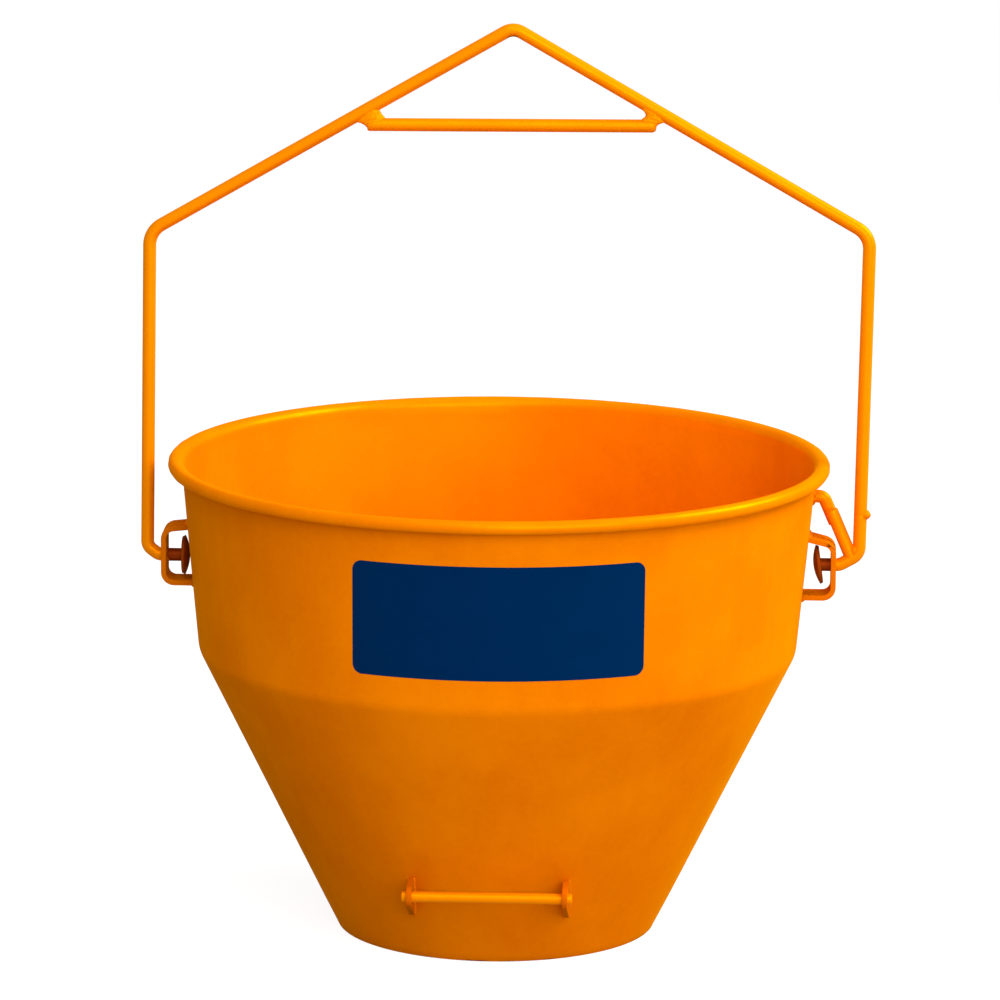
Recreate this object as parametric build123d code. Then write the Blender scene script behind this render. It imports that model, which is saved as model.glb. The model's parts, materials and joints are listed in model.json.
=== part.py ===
from build123d import *
from math import acos, asin, atan2, cos, degrees, hypot, radians, sin, sqrt, tan
import os

# Tipping bucket for a small hoist, in millimetres.
# +Z is up, the tip handle is at the front (-Y), and the origin is the middle of the base's underside.

# Bucket
rim_od = 500.0
height = 362.0
crease_od = 453.0
crease_height = 216.0
base_od = 241.0
sheet = 2.0
base_thick = 3.0
rim_wire_d = 6.0
rim_lip_r = 6.3
rim_curl_sweep = 225.0
seat_gap = 0.1

# Welds of the bucket
base_weld_leg = 4.0
crease_weld_half = 4.0
crease_weld_proud = 1.2
seam_weld_r = 4.0
seam_weld_proud = 0.9
seam_weld_margin = 3.0

# Straps that carry the bail's pins, each with its own height above and below the pin
pin_height = 282.0
strap_reach = 22.8
strap_thick = 4.0
strap_width = 25.0
strap_inside_r = 6.0
left_strap_above = 23.5
left_strap_below = 21.5
left_strap_rise = 6.0
right_strap_above = 18.5
right_strap_below = 25.5
right_strap_rise = 14.0
strap_weld_r = 3.5
pin_clearance = 0.3

# Bail
bail_d = 10.0
shoulder_height = 249.0
shoulder_skew = 2.1
left_leg_lean = 0.4
right_leg_lean = 0.9
peak_height = 403.9
peak_shift = 1.9
shoulder_inside_r = 13.0
peak_inside_r = 7.5
crank_start = 2.6
left_crank_inside_r = 3.0
left_crank_gap = 3.2
left_crank_rise = 6.4
right_crank_inside_r = 5.0
right_crank_gap = 7.2
right_crank_rise = 8.2
splice_height = 38.5
bail_lean = 2.0

# Lump of weld at the splice in the right leg
splice_weld_r = 4.6
splice_weld_offset = 3.0

# Domed washers welded on the ends of the pins
washer_od = 30.0
washer_thick = 2.5
washer_dish = 3.5
left_washer_gap = 13.7
right_washer_gap = 9.5
right_washer_tilt = 8.0
washer_weld_leg = 3.0

# Spreader bar across the peak
spreader_d = 10.0
spreader_height = 330.5
spreader_skew = 0.8
spreader_lap = 0.1
spreader_weld_inner = 12.5
spreader_weld_upper = 9.5
spreader_weld_outer = 8.0
spreader_weld_thick = 8.4

# Finger on the bail's right crank, at an angle to the wall, and the hook under the rim that stops it
finger_d = 10.0
finger_angle = 28.9
finger_root = 5.0
finger_top = 42.0
finger_strap_gap = 1.5
finger_weld_r = 5.6
finger_weld_height = 12.5
hook_d = 10.0
hook_height = 50.4
hook_tip_height = 30.0
hook_side = 2.0
hook_inside_r = 1.0
hook_weld_r = 7.5
stop_gap = 0.3

# Tip handle
handle_d = 8.0
handle_length = 126.0
handle_height = 63.5
handle_reach = 22.0
lug_spacing = 115.0
lug_thick = 4.0
lug_end_r = 8.0
lug_foot_low = 36.0
lug_foot_high = 70.0
lug_weld_r = 3.0

# How far a piece is started inside the wall that it is then cut back to
root_depth = 6.0

# Derived sizes
base_r = base_od / 2
crease_r = crease_od / 2
curl_in = rim_wire_d / 2 + seat_gap
curl_out = curl_in + sheet
bead_r = rim_od / 2 - curl_out
bead_z = height - curl_out
lip_z = height - rim_lip_r - sheet / 2
lip_rise = lip_z - crease_height
lip_run = bead_r - crease_r
band_tilt = degrees(atan2(lip_run, lip_rise) - asin((rim_lip_r - sheet / 2) / hypot(lip_run, lip_rise)))
cone_tilt = degrees(atan2(crease_r - base_r, crease_height))
band_wall = sheet / cos(radians(band_tilt))
cone_wall = sheet / cos(radians(cone_tilt))
bail_r = bail_d / 2
pin_r = bail_r


def band_radius(z):
    """Outer radius of the band at height z."""
    return crease_r + (z - crease_height) * tan(radians(band_tilt))


def cone_radius(z):
    """Outer radius of the cone at height z."""
    return base_r + z * tan(radians(cone_tilt))


strap_face = band_radius(pin_height) + strap_reach
strap_inner_face = strap_face - strap_thick
strap_bend_r = strap_inside_r + strap_thick / 2
left_crank_r = left_crank_inside_r + bail_r
right_crank_r = right_crank_inside_r + bail_r
left_leg_x = -(strap_face + left_crank_gap + left_crank_r)
right_leg_x = strap_face + right_crank_gap + right_crank_r
crank_x = strap_face + crank_start
left_elbow_x = left_leg_x + left_crank_rise * tan(radians(left_leg_lean))
right_elbow_x = right_leg_x + right_crank_rise * tan(radians(right_leg_lean))
left_shoulder = shoulder_height - shoulder_skew
right_shoulder = shoulder_height + shoulder_skew
left_shoulder_x = left_leg_x + left_shoulder * tan(radians(left_leg_lean))
right_shoulder_x = right_leg_x + right_shoulder * tan(radians(right_leg_lean))
splice_x = right_leg_x + splice_height * tan(radians(right_leg_lean))
peak_x = (left_shoulder_x + right_shoulder_x) / 2 + peak_shift
left_incline = atan2(peak_height - left_shoulder, peak_x - left_shoulder_x)
right_incline = atan2(peak_height - right_shoulder, right_shoulder_x - peak_x)
left_spreader = spreader_height - spreader_skew
right_spreader = spreader_height + spreader_skew
left_washer_x = -(strap_inner_face - left_washer_gap)
right_washer_x = strap_inner_face - right_washer_gap
washer_r = washer_od / 2
washer_seat = washer_dish - washer_thick / 2
dome_r = (washer_r**2 + washer_dish**2) / (2 * washer_dish)
dome_z = washer_dish - dome_r
strap_top_bend = strap_bend_r * tan(radians(90 - right_strap_rise) / 2)
strap_flat_top = right_strap_above - strap_thick / 2 - strap_top_bend
strap_flat_reach = hypot(strap_width / 2, strap_flat_top)
finger_lean = radians(finger_angle - band_tilt)
finger_slope = tan(finger_lean)
finger_foot_x = (
    strap_face + finger_strap_gap + strap_flat_reach * finger_slope + finger_d / 2 / cos(finger_lean)
)
pin_axis = Axis((0, 0, pin_height), (1, 0, 0))


def rz(radius, z):
    """Point of a turned profile."""
    return Vector(radius, 0, z)


def arc(centre_r, centre_z, radius, start, end):
    """Arc of a turned profile between two angles in degrees."""
    angles = [radians(a) for a in (start, (start + end) / 2, end)]
    return ThreePointArc(*[rz(centre_r + radius * cos(a), centre_z + radius * sin(a)) for a in angles])


def turned(*edges):
    """Solid turned about the Z axis."""
    return revolve(make_face(edges), Axis.Z)


def rod(path, diameter):
    """Round bar along a path."""
    section = Plane(path @ 0, z_dir=path % 0) * Circle(diameter / 2)
    return sweep(section, path=path)


def bar(start, end, diameter):
    """Straight round bar between two points."""
    start = Vector(start)
    run = Vector(end) - start
    return Plane(start, z_dir=run) * Cylinder(
        diameter / 2, run.length, align=(Align.CENTER, Align.CENTER, Align.MIN)
    )


def largest(shape):
    """The one solid that counts after a cut."""
    return max(shape.solids(), key=lambda solid: solid.volume)


def group(solids):
    """Several solids as one piece."""
    return Compound(children=[largest(solid) for solid in solids])


def from_pin(x, rise):
    """Point in the bail's upright plane, at a height above the pins."""
    return Vector(x, 0, pin_height + rise)


def leaned(shape):
    """A piece of the bail, leaned back against the stop."""
    return shape.rotate(pin_axis, -bail_lean)


# Bucket: band, rim wire, cone and base


def make_upper_band():
    """Tapered band whose top edge is rolled outwards and down round the wire."""
    lip_in = rim_lip_r - sheet / 2
    lip_out = rim_lip_r + sheet / 2
    lip_start = 180 - band_tilt
    curl_end = 90 - rim_curl_sweep
    inner_lip = arc(bead_r, lip_z, lip_out, lip_start, 90)
    outer_curl = arc(bead_r, bead_z, curl_out, 90, curl_end)
    inner_curl = arc(bead_r, bead_z, curl_in, curl_end, 90)
    outer_lip = arc(bead_r, lip_z, lip_in, 90, lip_start)
    return turned(
        Line(rz(crease_r - band_wall, crease_height), inner_lip @ 0),
        inner_lip,
        outer_curl,
        Line(outer_curl @ 1, inner_curl @ 0),
        inner_curl,
        outer_lip,
        Line(outer_lip @ 1, rz(crease_r, crease_height)),
        Line(rz(crease_r, crease_height), rz(crease_r - band_wall, crease_height)),
    )


def make_rim_wire():
    """Ring of round wire inside the rolled edge."""
    return Pos(0, 0, bead_z) * Torus(bead_r, rim_wire_d / 2)


def make_lower_cone():
    """Rolled cone, cut level at both ends."""
    corners = [
        rz(base_r, 0),
        rz(crease_r, crease_height),
        rz(crease_r - cone_wall, crease_height),
        rz(base_r - cone_wall, 0),
    ]
    return turned(*Polyline(*corners, close=True).edges())


def make_base_plate():
    """Disc with a bevelled edge, set into the foot of the cone."""
    edge = cone_wall + seat_gap
    corners = [
        rz(0, 0),
        rz(cone_radius(0) - edge, 0),
        rz(cone_radius(base_thick) - edge, base_thick),
        rz(0, base_thick),
    ]
    return turned(*Polyline(*corners, close=True).edges())


def make_base_weld():
    """Fillet ring between the base plate and the cone."""
    toe = base_thick + base_weld_leg * cos(radians(cone_tilt))
    edge = cone_wall + seat_gap
    root = cone_radius(base_thick) - edge
    corners = [
        rz(root - base_weld_leg, base_thick),
        rz(root, base_thick),
        rz(cone_radius(toe) - edge, toe),
    ]
    return turned(*Polyline(*corners, close=True).edges())


def make_crease_weld():
    """Low rounded bead inside the bucket, over the joint of band and cone."""
    low = crease_height - crease_weld_half
    high = crease_height + crease_weld_half
    start = rz(cone_radius(low) - cone_wall - seat_gap, low)
    end = rz(band_radius(high) - band_wall - seat_gap, high)
    joint = rz(crease_r - cone_wall - seat_gap, crease_height)
    run = end - start
    inwards = Vector(-run.Z, 0, run.X).normalized()
    crown = [
        start + run * share + inwards * (4 * share * (1 - share) * crease_weld_proud)
        for share in (0.25, 0.5, 0.75)
    ]
    return turned(*Polyline(start, *crown, end, joint, close=True).edges())


def make_bucket_fill():
    """The bucket as a full body below its rim, which trims what is welded to its outside."""
    top = lip_z
    corners = [rz(0, 0), rz(base_r, 0), rz(crease_r, crease_height), rz(band_radius(top), top), rz(0, top)]
    return turned(*Polyline(*corners, close=True).edges())


def make_seam_weld(low, high, radius_at, fill):
    """Bead up the back of a rolled sheet, from one height to another."""
    sunk = seam_weld_r - seam_weld_proud
    start = Vector(0, radius_at(low) - sunk, low)
    end = Vector(0, radius_at(high) - sunk, high)
    return largest(bar(start, end, 2 * seam_weld_r) - fill)


# Straps, with their beads


def strap_path(above, below, rise):
    """Middle line of a strap on the right, from its sloping top leg round to its level bottom leg."""
    middle_x = strap_face - strap_thick / 2
    top = pin_height + above - strap_thick / 2
    bottom = pin_height - below + strap_thick / 2
    root_x = band_radius(bottom) - root_depth
    return FilletPolyline(
        (root_x, 0, top + (middle_x - root_x) * tan(radians(rise))),
        (middle_x, 0, top),
        (middle_x, 0, bottom),
        (root_x, 0, bottom),
        radius=strap_bend_r,
    )


def make_strap(path, fill):
    """Flat bar bent to a U, drilled for the pin and cut to the wall."""
    section = Plane(path @ 0, x_dir=(0, 1, 0), z_dir=path % 0) * Rectangle(strap_width, strap_thick)
    hole = bar(
        (strap_inner_face - strap_thick, 0, pin_height),
        (strap_face + strap_thick, 0, pin_height),
        2 * (pin_r + pin_clearance),
    )
    return largest(sweep(section, path=path) - fill - hole)


def make_strap_beads(path, rise, strap, fill):
    """Beads over the top leg and under the bottom leg of a strap."""
    half = strap_thick / 2
    root = path @ 0
    inside_wall = band_radius(root.Z) - root.X
    top_z = root.Z + half / cos(radians(rise)) - inside_wall * tan(radians(rise))
    bottom_z = (path @ 1).Z - half
    beads = []
    for z in (top_z, bottom_z):
        x = band_radius(z)
        bead = bar((x, -strap_width / 2, z), (x, strap_width / 2, z), 2 * strap_weld_r)
        beads.append(largest(bead - fill - strap))
    return beads


def to_left(shape):
    """The same shape on the other side of the bucket."""
    return mirror(shape, Plane.YZ)


# Hook under the rim


def finger_axis(rise):
    """Point of the finger's middle line, at a height above the pins."""
    return from_pin(finger_foot_x - rise * finger_slope, rise)


hook_apart = finger_d / 2 + hook_d / 2 + stop_gap
hook_offset = hook_side * cos(finger_lean)
hook_back = finger_top * tan(radians(bail_lean)) + sqrt(hook_apart**2 - hook_offset**2)
hook_z = pin_height + hook_height
hook_root = Vector(sqrt(band_radius(hook_z) ** 2 - hook_back**2), hook_back, hook_z)


def make_keeper_hook(fill):
    """Round bar that leaves the wall level and turns down behind the finger, a little nearer the wall."""
    behind = Vector(-hook_side, hook_back, 0)
    path = FilletPolyline(
        hook_root - Vector(root_depth, 0, 0),
        finger_axis(hook_height) + behind,
        finger_axis(hook_tip_height) + behind,
        radius=hook_inside_r + hook_d / 2,
    )
    return largest(rod(path, hook_d) - fill)


def make_keeper_weld(hook, fill):
    """Collar of weld round the hook's root."""
    return largest(Pos(hook_root) * Sphere(hook_weld_r) - fill - hook)


# Tip handle


handle_y = -(cone_radius(handle_height) + handle_reach)


def make_tip_handle_bar():
    """Straight bar through both lugs."""
    end = Vector(handle_length / 2, 0, 0)
    middle = Vector(0, handle_y, handle_height)
    return bar(middle - end, middle + end, handle_d)


def make_lug(x, fill):
    """Flat lug with a round end, drilled for the bar and cut to the cone."""
    eye = Pos(handle_y, handle_height) * Circle(lug_end_r)
    low_y = root_depth - sqrt(cone_radius(lug_foot_low) ** 2 - x**2)
    high_y = root_depth - sqrt(cone_radius(lug_foot_high) ** 2 - x**2)
    foot = Line((low_y, lug_foot_low), (high_y, lug_foot_high))
    outline = make_hull([*eye.edges(), foot.edge()])
    plate = extrude(Plane.YZ.offset(x) * outline, lug_thick / 2, both=True)
    middle = Vector(x, handle_y, handle_height)
    half = Vector(lug_thick, 0, 0)
    hole = bar(middle - half, middle + half, handle_d + 2 * seat_gap)
    return largest(plate - fill - hole)


def make_tip_handle_welds(fill):
    """Beads along both sides of each lug's foot."""
    beads = []
    for side in (-1, 1):
        middle_x = side * lug_spacing / 2
        slab = Pos(middle_x, 0, 0) * Box(lug_thick, 2 * crease_od, 2 * height)
        for face in (-1, 1):
            x = middle_x + face * lug_thick / 2
            foot = [
                Vector(x, -sqrt(cone_radius(z) ** 2 - x**2), z) for z in (lug_foot_low, lug_foot_high)
            ]
            beads.append(bar(*foot, 2 * lug_weld_r) - slab - fill)
    return group(beads)


# Bail


def make_bail_rod(washer):
    """Bent bar from the left pin, up and over the peak, down to the splice in the right leg."""
    path = FilletPolyline(
        from_pin(left_washer_x + washer_seat, 0),
        from_pin(-crank_x, 0),
        from_pin(left_elbow_x, left_crank_rise),
        from_pin(left_shoulder_x, left_shoulder),
        from_pin(peak_x, peak_height),
        from_pin(right_shoulder_x, right_shoulder),
        from_pin(splice_x, splice_height),
        radius=[
            left_crank_r,
            left_crank_r,
            shoulder_inside_r + bail_r,
            peak_inside_r + bail_r,
            shoulder_inside_r + bail_r,
        ],
    )
    return largest(rod(path, bail_d) - washer)


def make_latch_end_rod(washer):
    """Lower end of the right leg, cranked inwards and down to the right pin."""
    path = FilletPolyline(
        from_pin(splice_x, splice_height),
        from_pin(right_elbow_x, right_crank_rise),
        from_pin(crank_x, 0),
        from_pin(right_washer_x - washer_seat, 0),
        radius=right_crank_r,
    )
    return largest(rod(path, bail_d) - washer)


def make_splice_weld(upper, lower):
    """Lump of weld at the splice, on the outside of the leg."""
    middle = from_pin(splice_x + splice_weld_offset, splice_height)
    return largest(Pos(middle) * Sphere(splice_weld_r) - upper - lower)


def spreader_end(incline, rise):
    """Distance from the peak to an end of the spreader bar, which stops under the incline there."""
    run = (peak_height - rise) / tan(incline)
    return run - (bail_r + spreader_d / 2 - spreader_lap) / sin(incline)


def make_spreader_bar(bail_rod):
    """Straight bar across the peak, its ends under the inclines."""
    whole = bar(
        from_pin(peak_x - spreader_end(left_incline, left_spreader), left_spreader),
        from_pin(peak_x + spreader_end(right_incline, right_spreader), right_spreader),
        spreader_d,
    )
    return largest(whole - bail_rod)


def make_spreader_weld(side, incline, rise, bail_rod, spreader):
    """Fill between an end of the spreader bar and its incline, inside and outside the corner."""
    inside_height = peak_height - rise - spreader_d / 2 - bail_r / cos(incline)
    corner_x = inside_height / tan(incline)
    upper = corner_x - spreader_weld_upper
    outer = corner_x + spreader_weld_outer
    sunk = peak_height - bail_r / cos(incline) + bail_r / 2
    outline = [
        (corner_x - spreader_weld_inner, rise + spreader_d / 4),
        (upper, sunk - upper * tan(incline)),
        (outer, sunk - outer * tan(incline)),
        (spreader_end(incline, rise), rise - spreader_d / 4),
    ]
    corners = [from_pin(peak_x + side * x, level) for x, level in outline]
    face = make_face(Polyline(*corners, close=True).edges())
    fill = extrude(face, spreader_weld_thick / 2, dir=(0, 1, 0), both=True)
    return largest(fill - bail_rod - spreader)


def make_latch_finger(crank):
    """Straight bar that rises inwards from the right crank."""
    return largest(bar(finger_axis(finger_root), finger_axis(finger_top), finger_d) - crank)


def make_finger_weld(finger, crank):
    """Lump of weld low in the fork between the finger and the right leg."""
    finger_side = finger_axis(finger_weld_height).X + finger_d / 2 / cos(finger_lean)
    leg_side = right_leg_x - bail_r
    middle = from_pin((finger_side + leg_side) / 2, finger_weld_height)
    return largest(Pos(middle) * Sphere(finger_weld_r) - finger - crank)


def on_washer(x, inwards, tilt, shape):
    """A turned shape placed on a washer, whose axis has a tilt in the bail's plane."""
    facing = (inwards * cos(radians(tilt)), 0, -sin(radians(tilt)))
    return Plane(from_pin(x, 0), z_dir=facing) * shape


def make_washer(x, inwards, tilt):
    """Domed washer, hollow towards its strap."""
    rim_angle = degrees(acos(washer_r / dome_r))
    outside = arc(0, dome_z, dome_r, rim_angle, 90)
    inside = arc(0, dome_z, dome_r - washer_thick, 90, rim_angle)
    dome = turned(outside, Line(outside @ 1, inside @ 0), inside, Line(inside @ 1, outside @ 0))
    return on_washer(x, inwards, tilt, dome)


def make_washer_weld(x, inwards, tilt):
    """Sloping ring of weld round a pin, in the hollow of its washer."""
    hollow_r = dome_r - washer_thick - seat_gap
    inner = pin_r - washer_weld_leg / 2
    outer = pin_r + washer_weld_leg
    inner_z = dome_z + sqrt(hollow_r**2 - inner**2)
    outer_z = dome_z + sqrt(hollow_r**2 - outer**2)
    foot_z = inner_z - washer_weld_leg
    corners = [rz(inner, foot_z), rz(pin_r, foot_z), rz(outer, outer_z), rz(inner, inner_z)]
    ring = turned(*Polyline(*corners, close=True).edges())
    pin = bar(from_pin(x - washer_r, 0), from_pin(x + washer_r, 0), bail_d)
    return largest(on_washer(x, inwards, tilt, ring) - pin)


# All the pieces, each in its own node

fill = make_bucket_fill()
seam_low = crease_height + seam_weld_margin
right_path = strap_path(right_strap_above, right_strap_below, right_strap_rise)
left_path = strap_path(left_strap_above, left_strap_below, left_strap_rise)
right_strap = make_strap(right_path, fill)
left_strap = make_strap(left_path, fill)
right_beads = make_strap_beads(right_path, right_strap_rise, right_strap, fill)
left_beads = make_strap_beads(left_path, left_strap_rise, left_strap, fill)
keeper_hook = make_keeper_hook(fill)
left_washer = make_washer(left_washer_x, 1, 0)
right_washer = make_washer(right_washer_x, -1, right_washer_tilt)
bail_rod = make_bail_rod(left_washer)
latch_end_rod = make_latch_end_rod(right_washer)
spreader_bar = make_spreader_bar(bail_rod)
latch_finger = make_latch_finger(latch_end_rod)

bucket_nodes = {
    "upper_band": make_upper_band(),
    "rim_wire": make_rim_wire(),
    "lower_cone": make_lower_cone(),
    "base_plate": make_base_plate(),
    "base_weld": make_base_weld(),
    "crease_weld": make_crease_weld(),
    "band_seam_weld": make_seam_weld(seam_low, lip_z - seam_weld_r, band_radius, fill),
    "cone_seam_weld": make_seam_weld(seam_weld_margin, crease_height - seam_weld_margin, cone_radius, fill),
    "right_bracket": right_strap,
    "left_bracket": to_left(left_strap),
    "bracket_welds": group(right_beads + [to_left(bead) for bead in left_beads]),
    "keeper_hook": keeper_hook,
    "keeper_weld": make_keeper_weld(keeper_hook, fill),
    "tip_handle_bar": make_tip_handle_bar(),
    "tip_handle_left_lug": make_lug(-lug_spacing / 2, fill),
    "tip_handle_right_lug": make_lug(lug_spacing / 2, fill),
    "tip_handle_welds": make_tip_handle_welds(fill),
}

bail_nodes = {
    "bail_rod": bail_rod,
    "latch_end_rod": latch_end_rod,
    "bail_splice_weld": make_splice_weld(bail_rod, latch_end_rod),
    "spreader_bar": spreader_bar,
    "spreader_welds": group(
        [
            make_spreader_weld(-1, left_incline, left_spreader, bail_rod, spreader_bar),
            make_spreader_weld(1, right_incline, right_spreader, bail_rod, spreader_bar),
        ]
    ),
    "latch_finger": latch_finger,
    "latch_finger_weld": make_finger_weld(latch_finger, latch_end_rod),
    "left_pin_washer": left_washer,
    "right_pin_washer": right_washer,
    "washer_welds": group(
        [
            make_washer_weld(left_washer_x, 1, 0),
            make_washer_weld(right_washer_x, -1, right_washer_tilt),
        ]
    ),
}

os.makedirs("parts", exist_ok=True)
for name, shape in bucket_nodes.items():
    export_step(shape, f"parts/{name}.step")
for name, shape in bail_nodes.items():
    export_step(leaned(shape), f"parts/{name}.step")
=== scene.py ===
import json

import bmesh
import bpy
import numpy as np
from mathutils import Matrix

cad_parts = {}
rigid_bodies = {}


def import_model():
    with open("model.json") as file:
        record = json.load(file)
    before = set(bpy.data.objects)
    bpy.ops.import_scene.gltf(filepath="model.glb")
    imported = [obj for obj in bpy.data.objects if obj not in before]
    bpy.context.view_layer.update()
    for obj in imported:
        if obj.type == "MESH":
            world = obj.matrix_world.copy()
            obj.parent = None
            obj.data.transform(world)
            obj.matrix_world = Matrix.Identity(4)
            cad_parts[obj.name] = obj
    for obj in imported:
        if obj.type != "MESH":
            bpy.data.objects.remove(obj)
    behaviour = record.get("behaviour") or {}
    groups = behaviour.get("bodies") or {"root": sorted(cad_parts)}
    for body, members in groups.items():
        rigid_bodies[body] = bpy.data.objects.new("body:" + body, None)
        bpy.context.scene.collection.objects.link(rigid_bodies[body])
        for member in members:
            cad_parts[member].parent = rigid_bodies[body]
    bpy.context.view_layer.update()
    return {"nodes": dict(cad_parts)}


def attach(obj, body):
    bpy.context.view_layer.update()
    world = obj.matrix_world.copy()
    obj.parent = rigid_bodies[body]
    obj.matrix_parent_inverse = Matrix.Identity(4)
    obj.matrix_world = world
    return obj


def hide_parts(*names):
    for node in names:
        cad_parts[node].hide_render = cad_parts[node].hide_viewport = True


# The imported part: a welded steel bucket and the bail that swings on it.
# Its nodes are in metres, with the underside of the base at height 0 and the front at -Y.
for leftover in list(bpy.data.objects):
    bpy.data.objects.remove(leftover)
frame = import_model()
nodes = frame["nodes"]
mm = 0.001


# Upper band: 2 mm sheet rolled to a slight taper and welded up the back.
# Its top edge is flared, then rolled outwards and down over a wire, which makes the thick rim.
# Bucket and bail are sprayed with one coat of satin orange enamel.
band_foot_r, crease_z = 226.5, 216.0
rim_top = 362.0
sheet = 2.0
bead_middle = (244.9, 356.9)
bead_inside, bead_outside = 3.1, 5.1
rolled_end = -135
flare_r = 6.3
flare_middle = (bead_middle[0], rim_top - flare_r - sheet / 2)
flare_run, flare_rise = flare_middle[0] - band_foot_r, flare_middle[1] - crease_z
flare_away = np.hypot(flare_run, flare_rise)
band_tilt = np.arctan2(flare_run, flare_rise) - np.arcsin((flare_r - sheet / 2) / flare_away)
band_wall = sheet / np.cos(band_tilt)
cone_foot_r = 120.5
cone_tilt = np.arctan2(band_foot_r - cone_foot_r, crease_z)
crease_round = 25.0
crease_steps = np.array([14.0, 7.0, 4.6, 3.7, 2.8, 1.9, 1.0, 0.0])
sheet_steps = 300
merge_within = 1e-6

# Each slow dent's depth, number round the bucket, start and drift up the wall.
dents = (
    (0.20, 2, 0.6, 0.0),
    (0.14, 3, 2.1, 0.0),
    (0.10, 5, -0.8, 1 / 60),
    (0.07, 9, 1.3, -1 / 38),
    (0.04, 14, 0.0, 1 / 24),
)
foot_fade = 25.0
dent_top, rim_fade = 350.0, 30.0
ripple_foot, ripple_fade, ripple_depth = 346.0, 8.0, 0.09


def band_radius(z):
    """Outer radius of the band: a straight taper up from the crease."""
    return band_foot_r + (z - crease_z) * np.tan(band_tilt)


def faded(share):
    """Share held between 0 and 1, with a soft start and end: 3 share squared less 2 share cubed."""
    share = np.clip(share, 0, 1)
    return share * share * (3 - 2 * share)


def rolling_dents(angle, z):
    """Radial error of rolled sheet: the sum of the dents' cosines, fading out at the foot and the rim."""
    waves = sum(depth * np.cos(number * angle + start + drift * z) for depth, number, start, drift in dents)
    return waves * faded(z / foot_fade) * faded((dent_top - z) / rim_fade)


def rim_ripple(angle):
    """Inward waver of the hand-closed bead: two short waves that beat round the rim."""
    return -ripple_depth * (2 + np.cos(41 * angle + 0.4) + np.cos(67 * angle + 2.0) * np.cos(3 * angle))


def soft_crease(radius, z, tilt):
    """Profile of a wall near the crease: the two tapers meet in an arc of crease_round, not in a corner."""
    turn = (cone_tilt - band_tilt) / 2
    reach = crease_round * np.tan(turn)
    run = np.abs(z - crease_z) / np.cos(tilt)
    inside = np.clip(1 - run / reach, 0, 1)
    return np.stack([radius - inside**2 * crease_round * (1 / np.cos(turn) - 1), z], axis=1)


def full_turn(count):
    """Angles of a full turn, in equal steps."""
    return np.radians(np.linspace(0, 360, count, endpoint=False))


def straight(start, end, count):
    """Points on a line between two points, the last one left out."""
    share = np.linspace(0, 1, count, endpoint=False)[:, None]
    return np.array(start) * (1 - share) + np.array(end) * share


def bend(middle, radius, start, end, count=1):
    """Points of a profile on an arc about a middle, between two angles in degrees, the last left out."""
    angle = np.radians(np.linspace(start, end, count, endpoint=False))
    return np.stack([middle[0] + radius * np.cos(angle), middle[1] + radius * np.sin(angle)], axis=1)


def turned(profile, angle, swell):
    """Profile points (radius, height) carried round the axis, each radius plus its swell at that angle."""
    radius = profile[None, :, 0] + swell
    x = radius * np.cos(angle)[:, None]
    y = radius * np.sin(angle)[:, None]
    z = np.broadcast_to(profile[None, :, 1], radius.shape)
    return np.stack([x, y, z], axis=-1)


def skin(name, grid, loop=False, crisp=45.0):
    """Piece over a grid of points in mm: quads between neighbours, closed round the second parameter.

    With loop the first parameter closes as well, otherwise its first and last rows have shrunk to a
    point or line. Doubled points are merged, faces are turned outwards, and edges sharper than crisp
    degrees stay sharp.
    """
    rows, columns = grid.shape[:2]
    row = np.arange(rows if loop else rows - 1)[:, None]
    column = np.arange(columns)[None, :]
    beside = (column + 1) % columns
    below, above = row * columns, (row + 1) % rows * columns
    corners = [below + column, below + beside, above + beside, above + column]
    quads = np.stack(corners, axis=-1).reshape(-1, 4)
    mesh = bpy.data.meshes.new(name)
    mesh.vertices.add(rows * columns)
    mesh.vertices.foreach_set("co", (grid * mm).astype(np.float32).ravel())
    mesh.loops.add(quads.size)
    mesh.loops.foreach_set("vertex_index", quads.astype(np.int32).ravel())
    mesh.polygons.add(len(quads))
    mesh.polygons.foreach_set("loop_start", np.arange(0, quads.size, 4, dtype=np.int32))
    mesh.update(calc_edges=True)
    work = bmesh.new()
    work.from_mesh(mesh)
    bmesh.ops.remove_doubles(work, verts=work.verts, dist=merge_within)
    bmesh.ops.recalc_face_normals(work, faces=work.faces)
    work.to_mesh(mesh)
    work.free()
    mesh.polygons.foreach_set("use_smooth", np.ones(len(mesh.polygons), dtype=bool))
    mesh.set_sharp_from_angle(angle=np.radians(crisp))
    piece = bpy.data.objects.new(name, mesh)
    bpy.context.scene.collection.objects.link(piece)
    return piece


def fit(piece, material, body, slot, *stands_for):
    """Gives a new piece its finish and its body, and hides the CAD nodes it stands for."""
    piece.data.materials.append(material)
    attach(piece, body)
    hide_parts(*stands_for)


def shader(tree, kind, feeds=None, **traits):
    """New shader node: traits are its settings, feeds its inputs, each a value or another's output."""
    made = tree.nodes.new("ShaderNode" + kind)
    for trait, value in traits.items():
        setattr(made, trait, value)
    for socket, value in (feeds or {}).items():
        if isinstance(value, bpy.types.NodeSocket):
            tree.links.new(value, made.inputs[socket])
        else:
            made.inputs[socket].default_value = value
    return made


def reckoned(tree, operation, *values, **traits):
    """Result of a Math node on two or three values."""
    return shader(tree, "Math", dict(enumerate(values)), operation=operation, **traits).outputs[0]


def blended(tree, share, first, second):
    """Colour between two colours, the second where share is 1."""
    return shader(tree, "Mix", {0: share, 6: first, 7: second}, data_type="RGBA").outputs[2]


def ranged(tree, value, start, end, low=0.0, high=1.0, **traits):
    """Value carried from the range between start and end to the range between low and high."""
    limits = {"From Min": start, "From Max": end, "To Min": low, "To Max": high}
    return shader(tree, "MapRange", {"Value": value, **limits}, **traits).outputs[0]


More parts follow.
